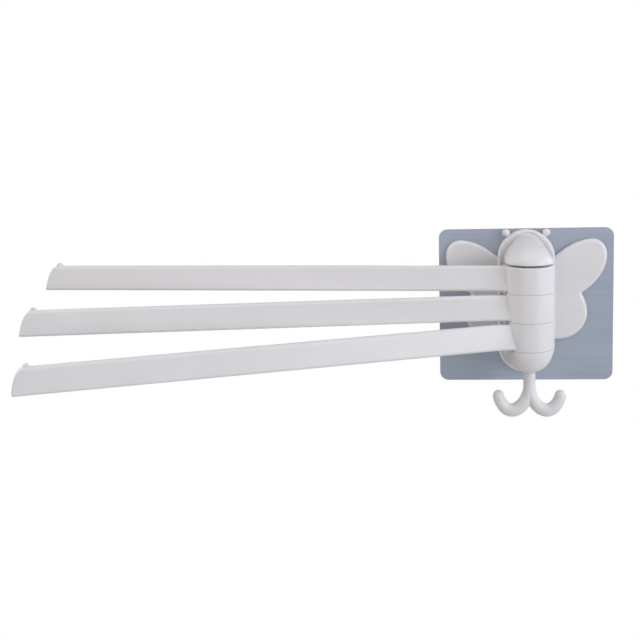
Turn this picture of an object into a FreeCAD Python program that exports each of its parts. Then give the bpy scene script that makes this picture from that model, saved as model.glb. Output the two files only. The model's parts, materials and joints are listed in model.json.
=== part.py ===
import FreeCAD, Part
import math
import os
from FreeCAD import Vector, Matrix, Placement, Rotation

# Butterfly-shaped swing arm towel bar with a double hook, held on a wall by an
# adhesive pad. Millimetres, +Z up. The origin is the centre of the adhesive's
# back face, the wall is the plane Y = 0, and the object stands out towards -Y.

# ---------------------------------------------------------------- dimensions
PAD_W, PAD_H, PAD_R = 100.0, 89.5, 5.0      # brushed backing sheet
ADH_T, SHEET_T, TAPE_T = 0.5, 0.8, 0.8      # adhesive, sheet, bonding tape
ADH_INSET, TAPE_INSET = 0.4, 1.6

BASE_Y = ADH_T + SHEET_T + TAPE_T           # back of the butterfly base
WING_T, WING_EDGE, NOTCH_R = 3.0, 2.3, 0.8  # wing plate, its rounded rim, and the notch between its lobes
FLANGE_R, FLANGE_Y = 16.3, 6.5              # long round-ended flange
FLANGE_ZT, FLANGE_ZB = 28.2, -23.0          # centres of its two round ends
FLANGE_EDGE = 1.5
GROOVE_R, GROOVE_TUBE, GROOVE_UP = 13.7, 1.3, 0.45   # valley round the body, inside the flange's lip

AXIS_Y = 27.0                               # pivot axis, distance from wall
HUB_R = 13.25
CAP_LINE_Z = 27.85                          # middle of the gap under the head
STACK_Z = 28.25                             # height that the seams are counted down from
CAP_GAP = 1.1
PITCH = 16.1                                # from seam to seam
SEAM = 0.12                                 # gap at each seam
PIN_R, BUSH_IN_R, BUSH_OUT_R = 2.5, 2.55, 4.0
SEAT_R, SEAT_D = 6.2, 0.25                  # washer seats in the hub faces
WASHER_R, WASHER_IN_R = 6.0, 2.7

ARM_L = 283.4                               # axis to the tip's lower corner
ARM_H = 14.1                                # height of the bar
ARM_DROP = 1.25                             # bar's top below the seam above it
ARM_TOP, ARM_BOT = 2.5, 4.3                 # half thickness, top and bottom
ARM_WALL = 1.7
HORN_H = 1.7
ARM_ANGLE = {"upper": -4.3, "middle": 7.6, "lower": 21.8}

HEAD_Z = CAP_LINE_Z + CAP_GAP / 2
TAIL_Z = STACK_Z - 3 * PITCH - SEAM / 2
TAIL_H = 14.15                              # depth of the tail dome

SCREW_R, SCREW_HEAD_R, SCREW_HEAD_T, SCREW_L = 1.45, 2.7, 1.4, 11.5
SCREWS = [(-5.6, 32.6), (5.6, 32.6), (-6.0, -23.9), (6.0, -23.9)]

HOOK_NECK_R, HOOK_STEM_R = 2.2, 3.4
HOOK_TOP_Z = -33.4

HEAD_H = 13.1                               # height of the head above its lower face
HEAD = [  # height above the lower face, half width, its depth, half width at flange
    (0.0, 13.25, 27.0, 12.6), (0.9, 13.2, 25.8, 12.5), (2.4, 12.9, 22.5, 12.0), (4.4, 11.9, 18.0, 11.0),
    (6.4, 10.4, 14.0, 9.7), (8.4, 8.5, 11.0, 8.0), (10.3, 6.6, 8.9, 6.2), (11.5, 5.1, 7.5, 4.8),
    (12.3, 3.7, 6.7, 3.5), (12.85, 2.0, 6.0, 1.9)]
GROOVE_GAP = 0.8                            # from the head's foot to the middle of the valley

os.makedirs("parts", exist_ok=True)
AX = Vector(0, -AXIS_Y, 0)
made = []


def save(shape, name):
    if not shape.isValid():
        shape.fix(1e-4, 1e-4, 1e-3)
    print("%-16s solids %d valid %s vol %.1f" % (name, len(shape.Solids), shape.isValid(), shape.Volume))
    shape.exportStep("parts/%s.step" % name)
    made.append((name, shape))


def rounded_rect(w, h, r, y, t):
    """Rounded rectangle in the wall plane, from Y=-y outwards by t."""
    box = Part.makeBox(w, t, h, Vector(-w / 2, -y - t, -h / 2))
    edges = [e for e in box.Edges if abs(e.BoundBox.YLength - t) < 1e-6 and e.BoundBox.XLength < 1e-6 and e.BoundBox.ZLength < 1e-6]
    return box.makeFillet(r, edges)


def spline_edge(pts, y):
    c = Part.BSplineCurve()
    c.interpolate([Vector(x, y, z) for x, z in pts])
    return c.toShape()


def line_edge(a, b, y):
    return Part.makeLine(Vector(a[0], y, a[1]), Vector(b[0], y, b[1]))


# ------------------------------------------------------------- butterfly wings
UPPER = [(12.0, 25.2), (16.5, 29.0), (21.4, 32.6), (27.0, 35.9), (33.0, 37.9), (38.0, 38.5), (42.0, 37.3),
         (44.9, 34.0), (46.0, 29.4), (45.2, 23.8), (42.5, 17.7), (37.8, 11.9), (31.6, 7.2)]
LOWER = [(31.6, 7.2), (33.6, 2.8), (34.8, -1.8), (34.7, -7.2), (33.0, -11.9), (29.6, -16.0), (25.2, -18.7),
         (21.2, -19.8), (17.0, -20.1), (12.0, -19.9)]


def wing_face(y):
    w = Part.Wire([spline_edge(UPPER, y), spline_edge(LOWER, y), line_edge(LOWER[-1], UPPER[0], y)])
    return Part.Face(w)


def mirror_x(s):
    return s.mirror(Vector(0, 0, 0), Vector(1, 0, 0))


def stadium(r, y0, y1):
    """Round-ended upright block between the depths y0 and y1."""
    t = y1 - y0
    a = Part.makeCylinder(r, t, Vector(0, -y0, FLANGE_ZT), Vector(0, -1, 0))
    b = Part.makeCylinder(r, t, Vector(0, -y0, FLANGE_ZB), Vector(0, -1, 0))
    c = Part.makeBox(2 * r, t, FLANGE_ZT - FLANGE_ZB, Vector(-r, -y1, FLANGE_ZB))
    return a.fuse([b, c]).removeSplitter()


def front_edges(s, y, tol=1e-4):
    return [e for e in s.Edges if abs(e.BoundBox.YMin + y) < tol and abs(e.BoundBox.YMax + y) < tol]


def inset(pts, d):
    """The outline's points moved inwards by d, to the outline's left."""
    c = Part.BSplineCurve()
    c.interpolate([Vector(x, 0, z) for x, z in pts])
    out = []
    for x, z in pts:
        t = c.tangent(c.parameter(Vector(x, 0, z)))[0]
        out.append((x + t.z * d, z - t.x * d))
    return out


wing_front = BASE_Y + WING_T
wing = wing_face(-BASE_Y).extrude(Vector(0, -WING_T, 0))
notch = [e for e in wing.Edges if (e.CenterOfMass - Vector(UPPER[-1][0], -BASE_Y - WING_T / 2, UPPER[-1][1])).Length < 0.01]
wing = wing.makeFillet(NOTCH_R, notch)


def soften(shape, radius, pick, label):
    """Round the picked edges, one after another when they can't go together."""
    todo = [e for e in shape.Edges if pick(e)]
    try:
        out = shape.makeFillet(radius, todo)
        if out.isValid() and len(out.Solids) == 1 and out.Volume > 0.5 * shape.Volume:
            return out
    except Exception:
        pass
    keys = [e.CenterOfMass for e in todo]
    for k in keys:
        for e in shape.Edges:
            if (e.CenterOfMass - k).Length < 0.3 and pick(e):
                try:
                    out = shape.makeFillet(radius, [e])
                    if out.isValid() and len(out.Solids) == 1 and out.Volume > 0.5 * shape.Volume:
                        shape = out
                    else:
                        print(label, "edge left sharp at", k)
                except Exception as err:
                    print(label, "edge left sharp at", k, err)
                break
    return shape


def on_rim(e):
    bb = e.BoundBox
    return abs(bb.YMin + wing_front) < 1e-4 and abs(bb.YMax + wing_front) < 1e-4 and bb.XMax > 14.5


wing = soften(wing, WING_EDGE, on_rim, "wing rim")

flange = stadium(FLANGE_R, BASE_Y, FLANGE_Y)
flange = flange.makeFillet(FLANGE_EDGE, front_edges(flange, FLANGE_Y))


def valley_path():
    """Closed line of the valley: round the head's foot, down the sides and round the tail."""
    foot = [(HEAD[0][3], -1.0)] + [(wf, h) for h, w, dc, wf in HEAD] + [(0.0, HEAD_H)]
    right = []
    for (x0, h0), (x, h), (x1, h1) in zip(foot, foot[1:], foot[2:]):
        n = Vector(h1 - h0, 0, x0 - x1).normalize() * GROOVE_GAP
        right.append((x + n.x, HEAD_Z + h + n.z))
    sides = [(GROOVE_R, z) for z in (20.0, 8.0, -6.0, FLANGE_ZB + 4.0)]
    low = [(GROOVE_R * math.cos(t), FLANGE_ZB - GROOVE_R * math.sin(t)) for t in [math.pi / 2 * k / 6 for k in range(1, 6)]]
    half = list(reversed(right)) + sides + low
    pts = [(0, HEAD_Z + HEAD_H + GROOVE_GAP)] + half + [(0, FLANGE_ZB - GROOVE_R)] + [(-x, z) for x, z in reversed(half)]
    gy = FLANGE_Y + GROOVE_UP
    c = Part.BSplineCurve()
    c.interpolate([Vector(x, -gy, z) for x, z in pts], True)
    return c


vp = valley_path()
VN = 96
rings = []
for k in range(VN):
    u = vp.FirstParameter + (vp.LastParameter - vp.FirstParameter) * k / VN
    rings.append(Part.Wire([Part.Circle(vp.value(u), vp.tangent(u)[0], GROOVE_TUBE).toShape()]))
half_a = Part.makeLoft(rings[:VN // 2 + 1], True, False)
half_b = Part.makeLoft(rings[VN // 2:] + rings[:1], True, False)
for tube in (half_a, half_b):
    if tube.Volume < 0:
        tube = tube.reversed()
    flange = flange.cut(tube)
    print("valley", tube.isValid(), round(tube.Volume, 1), "flange", flange.isValid(), len(flange.Solids), round(flange.Volume, 1))

ANT_X, ANT_Z, ANT_R, ANT_Y = 11.5, 42.65, 2.2, 4.4
ball = Part.makeSphere(ANT_R, Vector(ANT_X, -ANT_Y, ANT_Z))
d = Vector(ANT_X, 0, ANT_Z - FLANGE_ZT).normalize()
root = Vector(0, -ANT_Y, FLANGE_ZT) + d * (FLANGE_R - 2.2)
stub = Part.makeCylinder(1.15, 3.6, root, d)
antenna = ball.fuse(stub)

base = flange.fuse([wing, mirror_x(wing), antenna, mirror_x(antenna)])
for x, z in SCREWS:
    base = base.cut(Part.makeCylinder(SCREW_HEAD_R + 0.2, SCREW_HEAD_T + 0.1, Vector(x, -BASE_Y, z), Vector(0, -1, 0)))
    base = base.cut(Part.makeCylinder(SCREW_R + 0.1, 10, Vector(x, -BASE_Y, z), Vector(0, -1, 0)))
save(base, "butterfly_base")

# ------------------------------------------------------------------ wall layers
save(rounded_rect(PAD_W - 2 * ADH_INSET, PAD_H - 2 * ADH_INSET, PAD_R - ADH_INSET, 0, ADH_T), "adhesive_layer")
save(rounded_rect(PAD_W, PAD_H, PAD_R, ADH_T, SHEET_T), "backing_sheet")
ty = -(ADH_T + SHEET_T)
tu, tl = inset(UPPER, TAPE_INSET), inset(LOWER, TAPE_INSET)
tu[-1] = tl[0] = ((tu[-1][0] + tl[0][0]) / 2, (tu[-1][1] + tl[0][1]) / 2)
tape_wing = Part.Face(Part.Wire([spline_edge(tu, ty), spline_edge(tl, ty), line_edge(tl[-1], tu[0], ty)])).extrude(Vector(0, -TAPE_T, 0))
tape_mid = stadium(FLANGE_R - TAPE_INSET, ADH_T + SHEET_T, BASE_Y)
save(tape_mid.fuse([tape_wing, mirror_x(tape_wing)]).removeSplitter(), "bonding_tape")


# ----------------------------------------------------------------- head and tail
def bullet(z, w, dc, front, wf, back=FLANGE_Y - 1.9, n=22, power=2.0):
    """Level section of the head: half width w at depth dc, nose at depth
    front, sides drawing in to half width wf at the flange. A power over 2
    gives a flatter face with firmer shoulders."""
    side = []
    for i in range(n + 1):
        t = math.pi / 2 * i / n
        side.append((w * max(0.0, math.cos(t)) ** (2 / power), dc + (front - dc) * math.sin(t) ** (2 / power)))
    side[-1] = (0.0, front)
    k = 5
    straight = []
    for i in range(k):
        t = i / k
        s = t * t * (3 - 2 * t)
        straight.append((wf + (w - wf) * s, back + (dc - back) * t))
    right = straight + side
    left = [(-x, dd) for x, dd in reversed(right[:-1])]
    pts = [Vector(x, -dd, z) for x, dd in right + left]
    c = Part.BSplineCurve()
    c.interpolate(pts)
    return Part.Wire([c.toShape(), Part.makeLine(pts[-1], pts[0])])


def front_at(z):
    u = (z - HEAD_Z) / HEAD_H
    return 6.5 + (AXIS_Y + HUB_R - 6.5) * math.sqrt(max(0.0, 1 - u * u))


wires = [bullet(HEAD_Z + h, w, dc, front_at(HEAD_Z + h), wf, power=2 + 1.3 * min(1, h / 9)) for h, w, dc, wf in HEAD]
head = Part.makeLoft(wires, True, False)
if head.Volume < 0:
    head = head.reversed()
rim = [e for e in head.Edges if e.BoundBox.ZMax < HEAD_Z + 1e-3 and e.BoundBox.YLength > 5]
try:
    soft = head.makeFillet(0.45, rim)
    if soft.isValid() and len(soft.Solids) == 1:
        head = soft
except Exception as err:
    print("head rim left sharp", err)
front_cut = Part.makeBox(60, 40, 40, Vector(-30, -FLANGE_Y + 1.4, HEAD_Z - 5))
head = head.cut(front_cut)
head = head.cut(base)
head = head.cut(Part.makeCylinder(PIN_R + 0.03, 7.7, Vector(0, -AXIS_Y, HEAD_Z), Vector(0, 0, 1)))
head = head.cut(Part.makeCylinder(SEAT_R, SEAT_D, Vector(0, -AXIS_Y, HEAD_Z), Vector(0, 0, 1)))
head = head.cut(Part.makeBox(5.6, 14.0, 6.5, Vector(-2.8, -20.5, HEAD_Z + 2.3)))
for x, z in SCREWS[:2]:
    head = head.cut(Part.makeCylinder(SCREW_R + 0.01, 13.8, Vector(x, -3.0, z), Vector(0, -1, 0)))
head = max(head.Solids, key=lambda s: s.Volume)
save(head, "head_block")

# tail: a round dome below the hubs, drawn back to the flange as a barrel
wires = []
for u in (0.0, 0.1, 0.24, 0.38, 0.52, 0.66, 0.78, 0.88, 0.945, 0.985):
    w = HUB_R * math.sqrt(1 - u * u)
    wires.append(bullet(TAIL_Z - TAIL_H * u, w, AXIS_Y, AXIS_Y + w, w))
tail = Part.makeLoft(wires, True, False)
if tail.Volume < 0:
    tail = tail.reversed()
tail = tail.cut(Part.makeBox(60, 40, 40, Vector(-30, -FLANGE_Y + 1.4, TAIL_Z - 35)))
tail = tail.cut(base)
tail = max(tail.Solids, key=lambda s: s.Volume)
tail = tail.cut(Part.makeCylinder(PIN_R + 0.03, 6.0, Vector(0, -AXIS_Y, TAIL_Z), Vector(0, 0, -1)))
tail = tail.cut(Part.makeCylinder(SEAT_R, SEAT_D, Vector(0, -AXIS_Y, TAIL_Z), Vector(0, 0, -1)))
POCKET_TOP, POCKET_FLOOR = TAIL_Z - 7.2, TAIL_Z - 10.6
tail = tail.cut(Part.makeBox(10.4, 26.6, POCKET_TOP - POCKET_FLOOR, Vector(-5.2, -AXIS_Y - 5.2, POCKET_FLOOR)))
tail = tail.cut(Part.makeCylinder(HOOK_NECK_R + 0.05, 6.0, Vector(0, -AXIS_Y, POCKET_FLOOR + 1), Vector(0, 0, -1)))
tail = tail.cut(Part.makeCylinder(HOOK_STEM_R + 0.45, 5.0, Vector(0, -AXIS_Y, HOOK_TOP_Z + 0.3), Vector(0, 0, -1)))
for x, z in SCREWS[2:]:
    tail = tail.cut(Part.makeCylinder(SCREW_R + 0.01, 13.8, Vector(x, -3.0, z), Vector(0, -1, 0)))
tail = max(tail.Solids, key=lambda s: s.Volume)
save(tail, "tail_block")

screws = []
for x, z in SCREWS:
    hd = Part.makeCylinder(SCREW_HEAD_R, SCREW_HEAD_T, Vector(x, -BASE_Y - 0.05, z), Vector(0, -1, 0))
    sh = Part.makeCylinder(SCREW_R, SCREW_L, Vector(x, -BASE_Y - 0.05 - SCREW_HEAD_T, z), Vector(0, -1, 0))
    tip = Part.makeCone(SCREW_R, 0.4, 1.2, Vector(x, -BASE_Y - 0.05 - SCREW_HEAD_T - SCREW_L, z), Vector(0, -1, 0))
    s = hd.fuse([sh, tip])
    for w, h in ((3.0, 0.6), (0.6, 3.0)):
        s = s.cut(Part.makeBox(w, 0.8, h, Vector(x - w / 2, -BASE_Y - 0.85, z - h / 2)))
    screws.append(s)
save(Part.makeCompound(screws), "block_screws")

# ------------------------------------------------------------------- pin, washers
pin_top, pin_bot = HEAD_Z + 7.4, TAIL_Z - 5.8
pin = Part.makeCylinder(PIN_R, pin_top - pin_bot, Vector(0, -AXIS_Y, pin_bot), Vector(0, 0, 1))
pin = pin.makeChamfer(0.4, [e for e in pin.Edges if e.Closed])
save(pin, "pivot_pin")

SEAMS = [STACK_Z - PITCH * k for k in range(4)]
hub_top = [CAP_LINE_Z - CAP_GAP / 2, SEAMS[1] - SEAM / 2, SEAMS[2] - SEAM / 2]
hub_bot = [SEAMS[1] + SEAM / 2, SEAMS[2] + SEAM / 2, SEAMS[3] + SEAM / 2]


def washer(z0, t):
    a = Part.makeCylinder(WASHER_R, t, Vector(0, -AXIS_Y, z0), Vector(0, 0, 1))
    return a.cut(Part.makeCylinder(WASHER_IN_R, t, Vector(0, -AXIS_Y, z0), Vector(0, 0, 1)))


wt = SEAM + 2 * SEAT_D - 0.04
for name, zs in (("washer_upper", SEAMS[1]), ("washer_middle", SEAMS[2]), ("washer_lower", SEAMS[3])):
    save(washer(zs - wt / 2, wt), name)

# disc spring between the head and the upper hub, a coned ring
z_lo, z_hi = hub_top[0] - SEAT_D + 0.02, HEAD_Z + SEAT_D - 0.02
t = 0.6
p = [Vector(WASHER_R, 0, z_lo), Vector(WASHER_R, 0, z_lo + t), Vector(WASHER_IN_R, 0, z_hi), Vector(WASHER_IN_R, 0, z_hi - t)]
cone = Part.Face(Part.makePolygon(p + [p[0]])).revolve(Vector(0, 0, 0), Vector(0, 0, 1), 360)
cone.translate(Vector(0, -AXIS_Y, 0))
save(cone, "disc_spring")


# --------------------------------------------------------------------------- arms
def bar_section(s, zt, zb, a, b):
    """Cross-section of the bar at the distance s from the axis: narrow, well
    rounded top edge (half thickness a) and wider lower edge (half thickness b)."""
    corners = [(b, zb), (a, zt), (-a, zt), (-b, zb)]
    radii = [1.4, min(a * 0.82, 2.05), min(a * 0.82, 2.05), 1.4]
    pieces = []
    for k in range(4):
        p = Vector(corners[k][0], 0, corners[k][1])
        p0 = Vector(corners[k - 1][0], 0, corners[k - 1][1])
        p1 = Vector(corners[(k + 1) % 4][0], 0, corners[(k + 1) % 4][1])
        u0, u1 = (p0 - p).normalize(), (p1 - p).normalize()
        half = u0.getAngle(u1) / 2
        r = radii[k]
        tl = r / math.tan(half)
        mid = p + (u0 + u1).normalize() * (r / math.sin(half) - r)
        pieces.append((p + u0 * tl, mid, p + u1 * tl))
    turn = [[Vector(-s, -v.x, v.z) for v in q] for q in pieces]
    edges = []
    for k in range(4):
        q, nxt = turn[k], turn[(k + 1) % 4]
        edges.append(Part.Arc(q[0], q[1], q[2]).toShape())
        edges.append(Part.makeLine(q[2], nxt[0]))
    return Part.Wire(edges)


def make_arm(i):
    """The arm at angle 0, pointing to -X, in the pivot's own axes."""
    zt = SEAMS[i] - ARM_DROP
    zb = zt - ARM_H
    top, bot = hub_top[i], hub_bot[i]
    hub = Part.makeCylinder(HUB_R, top - bot, Vector(0, 0, bot), Vector(0, 0, 1))
    hub = hub.makeFillet(0.75 if i == 0 else 0.2, [e for e in hub.Edges if e.Closed and e.BoundBox.ZMin > top - 0.01])
    hub = hub.makeFillet(0.2, [e for e in hub.Edges if e.Closed and e.BoundBox.ZMax < bot + 0.01])
    # straight part of the bar, and its flared root
    bar = Part.Face(bar_section(30.0, zt, zb, ARM_TOP, ARM_BOT)).extrude(Vector(-(ARM_L + 6 - 30.0), 0, 0))
    root = Part.makeLoft([bar_section(s, zt, zb, a, b) for s, a, b in
                          ((7.0, 4.4, 8.6), (10.5, 3.5, 7.6), (14.0, 2.95, 6.3), (18.0, 2.65, 5.2), (23.0, 2.52, 4.55), (30.0, ARM_TOP, ARM_BOT))], True, False)
    arm = hub.fuse([root, bar])
    # end of the bar, seen from the side: cut back towards the top
    L = ARM_L
    end = [(L, zb - 0.01), (L - 0.25, zb + 1.6), (L - 0.95, zb + 5.0), (L - 1.9, zb + 8.2), (L - 3.5, zb + 11.4), (L - 6.0, zt + 0.01)]
    c = Part.BSplineCurve()
    c.interpolate([Vector(-x, -20, z) for x, z in end])
    far = L + 12
    w = Part.Wire([c.toShape(),
                   Part.makeLine(Vector(-end[-1][0], -20, end[-1][1]), Vector(-end[-1][0], -20, zt + 5)),
                   Part.makeLine(Vector(-end[-1][0], -20, zt + 5), Vector(-far, -20, zt + 5)),
                   Part.makeLine(Vector(-far, -20, zt + 5), Vector(-far, -20, zb - 5)),
                   Part.makeLine(Vector(-far, -20, zb - 5), Vector(-L, -20, zb - 5)),
                   Part.makeLine(Vector(-L, -20, zb - 5), Vector(-end[0][0], -20, end[0][1]))])
    arm = arm.cut(Part.Face(w).extrude(Vector(0, 40, 0)))
    # upturned horn on the tip
    hx = L - 6.0
    hp = [(hx + 1.2, zt - 2.0), (hx, zt + 0.02), (hx - 0.7, zt + 1.1), (hx - 1.5, zt + HORN_H), (hx - 2.4, zt + HORN_H - 0.1),
          (hx - 3.4, zt + 0.6), (hx - 4.7, zt - 0.15), (hx - 6.6, zt - 1.2)]
    c = Part.BSplineCurve()
    c.interpolate([Vector(-x, -1.35, z) for x, z in hp])
    e0, e1 = c.StartPoint, c.EndPoint
    horn = Part.Face(Part.Wire([c.toShape(), Part.makeLine(e1, e0)])).extrude(Vector(0, 2.7, 0))
    try:
        h2 = horn.makeFillet(0.5, [e for e in horn.Edges if abs(e.BoundBox.YLength) < 1e-6 and e.BoundBox.ZMax > zt + 0.5])
        if h2.isValid():
            horn = h2
    except Exception as err:
        print("horn rounding left out", err)
    arm = arm.fuse(horn)
    # the bar is a channel, open below, with cross ribs
    wl = ARM_WALL
    depth = ARM_H - 2.2
    def slot(x0, x1):
        ps = [Vector(-x0, -(ARM_BOT - wl), zb - 0.5), Vector(-x0, ARM_BOT - wl, zb - 0.5), Vector(-x0, 0.75, zb + depth), Vector(-x0, -0.75, zb + depth)]
        return Part.Face(Part.makePolygon(ps + [ps[0]])).extrude(Vector(-(x1 - x0), 0, 0))
    x = 16.5
    while x < L - 14:
        x1 = min(x + 30.5, L - 9.5)
        arm = arm.cut(slot(x, x1))
        x = x1 + 1.6
    # washer seats, bush bore and the cored underside of the hub
    ring = Part.makeCylinder(11.3, top - bot - 2.4, Vector(0, 0, bot - 0.01), Vector(0, 0, 1))
    ring = ring.cut(Part.makeCylinder(7.4, 20, Vector(0, 0, bot - 1), Vector(0, 0, 1)))
    arm = arm.cut(ring)
    arm = arm.cut(Part.makeCylinder(BUSH_OUT_R, 20, Vector(0, 0, bot - 1), Vector(0, 0, 1)))
    arm = arm.cut(Part.makeCylinder(SEAT_R, SEAT_D, Vector(0, 0, top - SEAT_D), Vector(0, 0, 1)))
    arm = arm.cut(Part.makeCylinder(SEAT_R, SEAT_D, Vector(0, 0, bot), Vector(0, 0, 1)))
    arm = max(arm.Solids, key=lambda s: s.Volume)
    bush = Part.makeCylinder(BUSH_OUT_R, top - bot - 2 * SEAT_D, Vector(0, 0, bot + SEAT_D), Vector(0, 0, 1))
    bush = bush.cut(Part.makeCylinder(BUSH_IN_R, 20, Vector(0, 0, bot - 1), Vector(0, 0, 1)))
    return arm, bush


for i, key in enumerate(("upper", "middle", "lower")):
    arm, bush = make_arm(i)
    # positive angles bring the arm from the wall towards the room
    for s, n in ((arm, "arm_" + key), (bush, "bush_" + key)):
        s = s.copy()
        s.rotate(Vector(0, 0, 0), Vector(0, 0, 1), ARM_ANGLE[key])
        s.translate(Vector(0, -AXIS_Y, 0))
        save(s, n)

# --------------------------------------------------------------------------- hook
# centre line of the left half, from inside the stem to the tip, and its radius
LINE = [(0.0, HOOK_TOP_Z, 3.4), (0.0, -36.3, 3.4), (0.0, -39.0, 3.4), (0.0, -42.0, 3.42), (-0.35, -45.2, 3.48), (-1.45, -48.6, 3.58), (-3.3, -51.9, 3.68),
        (-6.2, -54.8, 3.8), (-9.9, -56.0, 3.85), (-13.3, -54.7, 3.72), (-15.6, -51.9, 3.5), (-16.9, -49.3, 3.32), (-17.35, -47.5, 3.2)]
path = Part.BSplineCurve()
path.interpolate([Vector(x, 0, z) for x, z, r in LINE])
rad = Part.BSplineCurve()
rad.interpolate([Vector(i, 0, r) for i, (x, z, r) in enumerate(LINE)])
rings = []
N = 30
# map arc parameter to the radius list
params = [path.parameter(Vector(x, 0, z)) for x, z, r in LINE]
for i in range(N + 1):
    u = path.FirstParameter + (path.LastParameter - path.FirstParameter) * i / N
    k = 0
    while k < len(params) - 2 and u > params[k + 1]:
        k += 1
    f = (u - params[k]) / (params[k + 1] - params[k])
    r = LINE[k][2] * (1 - f) + LINE[k + 1][2] * f
    rings.append(Part.Wire([Part.Circle(path.value(u), path.tangent(u)[0], r).toShape()]))
half = Part.makeLoft(rings, True, False)
if half.Volume < 0:
    half = half.reversed()
end_dir = path.tangent(path.LastParameter)[0]
tip = Part.makeSphere(LINE[-1][2], path.value(path.LastParameter), end_dir, 0, 90, 360)
# the two halves meet in the middle plane, which leaves the crease between them
half = half.cut(Part.makeBox(40, 20, 60, Vector(0, -10, -80)))
half = max(half.Solids, key=lambda s: s.Volume).fuse(tip)
neck = Part.makeCylinder(HOOK_NECK_R, POCKET_FLOOR + 2.4 - HOOK_TOP_Z + 1.5, Vector(0, 0, HOOK_TOP_Z - 1.5), Vector(0, 0, 1))
groove = Part.makeCylinder(4.0, 0.8, Vector(0, 0, POCKET_FLOOR + 0.5), Vector(0, 0, 1)).cut(
    Part.makeCylinder(1.7, 0.8, Vector(0, 0, POCKET_FLOOR + 0.5), Vector(0, 0, 1)))
hook = half.fuse(mirror_x(half))
hook = hook.fuse(neck)
hook = hook.cut(groove)
hook = max(hook.Solids, key=lambda s: s.Volume)
hook.translate(AX)
save(hook, "double_hook")

hw = Part.makeCylinder(4.4, 0.46, Vector(0, 0, POCKET_FLOOR + 0.02), Vector(0, 0, 1)).cut(
    Part.makeCylinder(HOOK_NECK_R + 0.08, 1, Vector(0, 0, POCKET_FLOOR - 0.2), Vector(0, 0, 1)))
hw.translate(AX)
save(hw, "hook_washer")
clip = Part.makeCylinder(4.1, 0.7, Vector(0, 0, POCKET_FLOOR + 0.55), Vector(0, 0, 1)).cut(
    Part.makeCylinder(1.72, 1.4, Vector(0, 0, POCKET_FLOOR + 0.3), Vector(0, 0, 1)))
clip = clip.cut(Part.makeBox(2.9, 6, 2, Vector(-1.45, 0, POCKET_FLOOR)))
clip.translate(AX)
save(clip, "hook_clip")

allb = Part.makeCompound([s for n, s in made]).BoundBox
print("nodes", len(made), "box", round(allb.XMin, 2), round(allb.XMax, 2), round(allb.YMin, 2), round(allb.YMax, 2), round(allb.ZMin, 2), round(allb.ZMax, 2))
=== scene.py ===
"""Looks of the swing arm towel bar: finishes, floor, studio light and camera.
Metres, +Z up, the wall is the plane Y = 0 and the room is towards -Y."""
import json
import math

import bpy
from mathutils import Matrix, Vector

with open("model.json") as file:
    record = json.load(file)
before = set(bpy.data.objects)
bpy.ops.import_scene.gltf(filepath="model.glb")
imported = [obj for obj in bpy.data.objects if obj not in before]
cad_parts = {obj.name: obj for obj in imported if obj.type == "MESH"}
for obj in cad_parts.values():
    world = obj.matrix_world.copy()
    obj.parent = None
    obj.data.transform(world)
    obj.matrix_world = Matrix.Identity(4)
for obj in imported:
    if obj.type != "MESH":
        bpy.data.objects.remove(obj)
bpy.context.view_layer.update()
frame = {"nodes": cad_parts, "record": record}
NODES = frame["nodes"]
SCENE = bpy.context.scene
MM = 0.001


# ------------------------------------------------------------------ materials
def new_material(name):
    m = bpy.data.materials.new(name)
    m.use_nodes = True
    nt = m.node_tree
    bsdf = next(n for n in nt.nodes if n.type == "BSDF_PRINCIPLED")
    return m, nt, bsdf


def node(nt, kind, **inputs):
    n = nt.nodes.new(kind)
    for k, v in inputs.items():
        if k in n.inputs:
            n.inputs[k].default_value = v
        else:
            setattr(n, k, v)
    return n


def link(nt, a, b):
    nt.links.new(a, b)


def coords(nt, scale):
    """Object coordinates, stretched: the objects sit at the origin, so these are metres in the frame."""
    tc = nt.nodes.new("ShaderNodeTexCoord")
    mp = nt.nodes.new("ShaderNodeMapping")
    mp.inputs["Scale"].default_value = scale
    link(nt, tc.outputs["Object"], mp.inputs["Vector"])
    return mp.outputs["Vector"]


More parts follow.
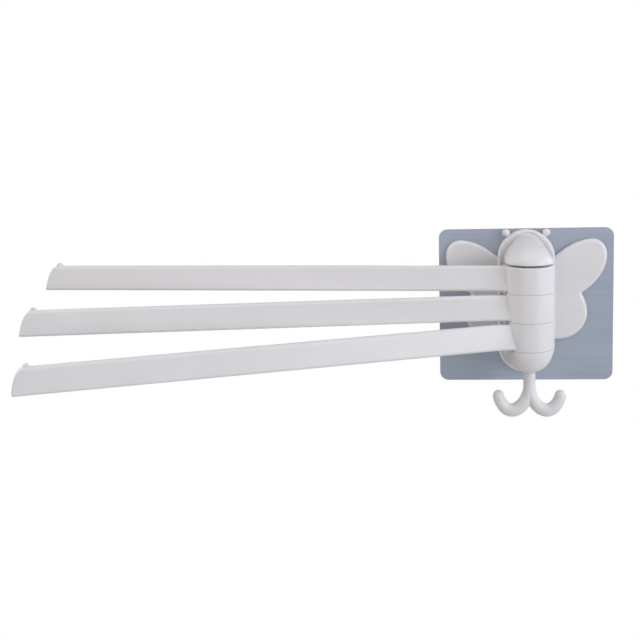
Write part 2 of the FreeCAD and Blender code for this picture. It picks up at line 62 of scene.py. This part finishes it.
def plastic(name, base, rough=0.42, tint=0.012, grain=0.05, coat=0.12, coat_rough=0.2):
    m, nt, b = new_material(name)
    b.inputs["IOR"].default_value = 1.49
    b.inputs["Coat Weight"].default_value = coat
    b.inputs["Coat Roughness"].default_value = coat_rough
    # slow drift in colour, as in moulded plastic
    slow = node(nt, "ShaderNodeTexNoise", Scale=1.0, Detail=3.0, Roughness=0.55)
    link(nt, coords(nt, (38, 38, 38)), slow.inputs["Vector"])
    ramp = nt.nodes.new("ShaderNodeValToRGB")
    lo = tuple(c * (1 - 2.2 * tint) for c in base)
    hi = tuple(min(1, c * (1 + 1.2 * tint)) for c in base)
    ramp.color_ramp.elements[0].position = 0.3
    ramp.color_ramp.elements[0].color = (*lo, 1)
    ramp.color_ramp.elements[1].position = 0.7
    ramp.color_ramp.elements[1].color = (*hi, 1)
    link(nt, slow.outputs["Fac"], ramp.inputs["Fac"])
    link(nt, ramp.outputs["Color"], b.inputs["Base Color"])
    # gloss varies a little
    gl = node(nt, "ShaderNodeTexNoise", Scale=1.0, Detail=4.0, Roughness=0.6)
    link(nt, coords(nt, (120, 120, 120)), gl.inputs["Vector"])
    mr = nt.nodes.new("ShaderNodeMapRange")
    mr.inputs["From Min"].default_value = 0.3
    mr.inputs["From Max"].default_value = 0.7
    mr.inputs["To Min"].default_value = rough - 0.05
    mr.inputs["To Max"].default_value = rough + 0.06
    link(nt, gl.outputs["Fac"], mr.inputs["Value"])
    link(nt, mr.outputs["Result"], b.inputs["Roughness"])
    # slight waviness of the moulded skin and a very fine texture
    wav = node(nt, "ShaderNodeTexNoise", Scale=1.0, Detail=2.0)
    link(nt, coords(nt, (210, 210, 210)), wav.inputs["Vector"])
    fine = node(nt, "ShaderNodeTexNoise", Scale=1.0, Detail=2.0)
    link(nt, coords(nt, (2600, 2600, 2600)), fine.inputs["Vector"])
    b1 = node(nt, "ShaderNodeBump", Strength=grain, Distance=0.0004)
    link(nt, wav.outputs["Fac"], b1.inputs["Height"])
    b2 = node(nt, "ShaderNodeBump", Strength=grain * 0.8, Distance=0.00005)
    link(nt, fine.outputs["Fac"], b2.inputs["Height"])
    link(nt, b1.outputs["Normal"], b2.inputs["Normal"])
    link(nt, b2.outputs["Normal"], b.inputs["Normal"])
    return m


def brushed(name, base, rough, metallic, tone=0.06, streak=0.08, along=(14, 900, 2600)):
    """Fine brushing along X: faint streaks in tone, gloss and height."""
    m, nt, b = new_material(name)
    b.inputs["Metallic"].default_value = metallic
    b.inputs["IOR"].default_value = 1.5
    fine = node(nt, "ShaderNodeTexNoise", Scale=1.0, Detail=4.0, Roughness=0.6)
    link(nt, coords(nt, along), fine.inputs["Vector"])
    broad = node(nt, "ShaderNodeTexNoise", Scale=1.0, Detail=2.0, Roughness=0.5)
    link(nt, coords(nt, (along[0] * 2.2, along[1] * 0.3, along[2] * 0.3)), broad.inputs["Vector"])
    add = nt.nodes.new("ShaderNodeMath")
    add.operation = "ADD"
    link(nt, fine.outputs["Fac"], add.inputs[0])
    link(nt, broad.outputs["Fac"], add.inputs[1])
    span = nt.nodes.new("ShaderNodeMapRange")
    for k, v in (("From Min", 0.72), ("From Max", 1.28), ("To Min", 0.0), ("To Max", 1.0)):
        span.inputs[k].default_value = v
    link(nt, add.outputs[0], span.inputs["Value"])
    ramp = nt.nodes.new("ShaderNodeValToRGB")
    ramp.color_ramp.elements[0].color = (*[c * (1 - tone) for c in base], 1)
    ramp.color_ramp.elements[1].color = (*[c * (1 + tone) for c in base], 1)
    link(nt, span.outputs["Result"], ramp.inputs["Fac"])
    link(nt, ramp.outputs["Color"], b.inputs["Base Color"])
    mr = nt.nodes.new("ShaderNodeMapRange")
    for k, v in (("From Min", 0.3), ("From Max", 0.7), ("To Min", rough - 0.04), ("To Max", rough + 0.05)):
        mr.inputs[k].default_value = v
    link(nt, broad.outputs["Fac"], mr.inputs["Value"])
    link(nt, mr.outputs["Result"], b.inputs["Roughness"])
    bm = node(nt, "ShaderNodeBump", Strength=streak, Distance=0.00003)
    link(nt, fine.outputs["Fac"], bm.inputs["Height"])
    link(nt, bm.outputs["Normal"], b.inputs["Normal"])
    return m


M_WHITE = plastic("white_plastic", (0.790, 0.777, 0.783))
M_FILM = brushed("brushed_film", (0.452, 0.499, 0.594), 0.42, 0.35)
M_STEEL = brushed("zinc_steel", (0.55, 0.55, 0.56), 0.3, 1.0, along=(400, 400, 400))
M_NYLON = plastic("nylon", (0.74, 0.72, 0.66), rough=0.45, tint=0.02)
M_ADH = plastic("adhesive", (0.62, 0.63, 0.62), rough=0.3, tint=0.02)
M_TAPE = plastic("foam_tape", (0.72, 0.72, 0.70), rough=0.7, tint=0.03)
BY_SLOT = {"white_plastic": M_WHITE, "brushed_film": M_FILM, "zinc_steel": M_STEEL, "nylon": M_NYLON,
           "adhesive": M_ADH, "foam_tape": M_TAPE}

for sp in frame["record"]["subparts"]:
    o = NODES[sp["node"]]
    o.data.materials.clear()
    o.data.materials.append(BY_SLOT[sp["material_slot"]])

# --------------------------------------------------------------------- camera
CAM = {"f": 1206.213, "pos": (-54.156, -699.52, 129.841), "yaw": -5.274, "pitch": 8.707, "roll": 1.488, "centre": (321.9, 269.0)}


def make_camera():
    y, p, r = (math.radians(CAM[k]) for k in ("yaw", "pitch", "roll"))
    fwd = Vector((math.sin(y) * math.cos(p), math.cos(y) * math.cos(p), -math.sin(p)))
    right = Vector((math.cos(y), -math.sin(y), 0))
    down = fwd.cross(right)
    rr = right * math.cos(r) + down * math.sin(r)
    dd = -right * math.sin(r) + down * math.cos(r)
    cam = bpy.data.cameras.new("camera")
    cam.sensor_fit = "HORIZONTAL"
    cam.sensor_width = 36.0
    cam.lens = CAM["f"] * 36.0 / 640.0
    # the photograph's optical centre lies a little above the middle of its frame
    cam.shift_x = (320.0 - CAM["centre"][0]) / 640.0
    cam.shift_y = (CAM["centre"][1] - 320.0) / 640.0
    cam.clip_start = 0.01
    cam.clip_end = 50
    ob = bpy.data.objects.new("camera", cam)
    SCENE.collection.objects.link(ob)
    m = Matrix((rr, -dd, -fwd)).transposed().to_4x4()
    m.translation = Vector(CAM["pos"]) * MM
    ob.matrix_world = m
    SCENE.camera = ob
    return ob


make_camera()


# ---------------------------------------------------------------------- floor
def make_floor():
    """A plain pale floor, well below the object as it hangs on its wall."""
    z, x, y0, y1 = -1.2, 1.6, -1.8, 0.9
    me = bpy.data.meshes.new("floor")
    me.from_pydata([(-x, y0, z), (x, y0, z), (x, y1, z), (-x, y1, z)], [], [(0, 1, 2, 3)])
    ob = bpy.data.objects.new("floor", me)
    SCENE.collection.objects.link(ob)
    m, nt, b = new_material("floor")
    b.inputs["Base Color"].default_value = (0.86, 0.86, 0.86, 1)
    b.inputs["Roughness"].default_value = 0.9
    me.materials.append(m)


make_floor()


# --------------------------------------------------------------------- lights
LIGHTS = [  # azimuth from the front towards +X, elevation, distance, width, height, watts, colour
    (-80, 0, 1.60, 0.60, 0.60, 1.15, (1.000, 0.800, 0.480)),
    (-33, 0, 1.60, 0.50, 0.50, 0.55, (1.000, 0.860, 0.820)),
    (-12, 0, 1.60, 0.50, 0.50, 1.75, (0.951, 0.968, 1.000)),
    (53, 12, 1.60, 1.00, 1.30, 15.08, (0.957, 0.967, 1.000)),
    (-80, 30, 1.60, 0.60, 0.60, 7.18, (0.949, 0.955, 1.000)),
    (-52, 28, 1.60, 0.60, 0.60, 0.45, (1.000, 0.840, 0.500)),
    (75, 35, 1.60, 0.70, 0.70, 1.73, (0.843, 0.843, 1.000)),
    (-60, 58, 1.60, 0.70, 0.70, 2.20, (0.980, 0.962, 1.000)),
    (40, 58, 1.60, 0.70, 0.70, 0.95, (0.900, 0.930, 1.000)),
    (0, 88, 1.60, 1.20, 1.20, 2.70, (0.981, 0.970, 1.000)),
    (115, 12, 1.60, 0.70, 0.90, 7.00, (0.710, 0.780, 1.000)),
    (165, 4, 1.60, 1.00, 0.80, 6.00, (1.000, 0.990, 0.970)),
    (-140, 15, 1.60, 0.80, 0.80, 4.00, (1.000, 0.990, 0.970)),
]
AMBIENT = (0.235, 0.234, 0.237)
AIM = Vector((-0.06, -0.02, 0.0))


def panel(i, az, el, dist, w, h, watts, color):
    """A soft panel that faces the object."""
    a, e = math.radians(az), math.radians(el)
    d = Vector((math.sin(a) * math.cos(e), -math.cos(a) * math.cos(e), math.sin(e)))
    li = bpy.data.lights.new("panel_%d" % i, "AREA")
    li.shape = "RECTANGLE"
    li.size, li.size_y = w, h
    li.energy = watts
    li.color = color
    ob = bpy.data.objects.new("panel_%d" % i, li)
    SCENE.collection.objects.link(ob)
    ob.location = AIM + d * dist
    ob.rotation_euler = (-d).to_track_quat("-Z", "Y").to_euler()


for k, row in enumerate(LIGHTS):
    panel(k, *row)

world = bpy.data.worlds.new("studio")
world.use_nodes = True
SCENE.world = world
wt = world.node_tree
bg = next(n for n in wt.nodes if n.type == "BACKGROUND")
bg.inputs["Color"].default_value = (*AMBIENT, 1)
bg.inputs["Strength"].default_value = 1.0
cam_bg = wt.nodes.new("ShaderNodeBackground")
cam_bg.inputs["Color"].default_value = (1, 1, 1, 1)
cam_bg.inputs["Strength"].default_value = 1.0
lp = wt.nodes.new("ShaderNodeLightPath")
mixw = wt.nodes.new("ShaderNodeMixShader")
wo = next(n for n in wt.nodes if n.type == "OUTPUT_WORLD")
link(wt, lp.outputs["Is Camera Ray"], mixw.inputs["Fac"])
link(wt, bg.outputs[0], mixw.inputs[1])
link(wt, cam_bg.outputs[0], mixw.inputs[2])
link(wt, mixw.outputs[0], wo.inputs["Surface"])

SCENE.view_settings.view_transform = "Standard"
SCENE.view_settings.look = "None"
SCENE.view_settings.exposure = 0
SCENE.view_settings.gamma = 1
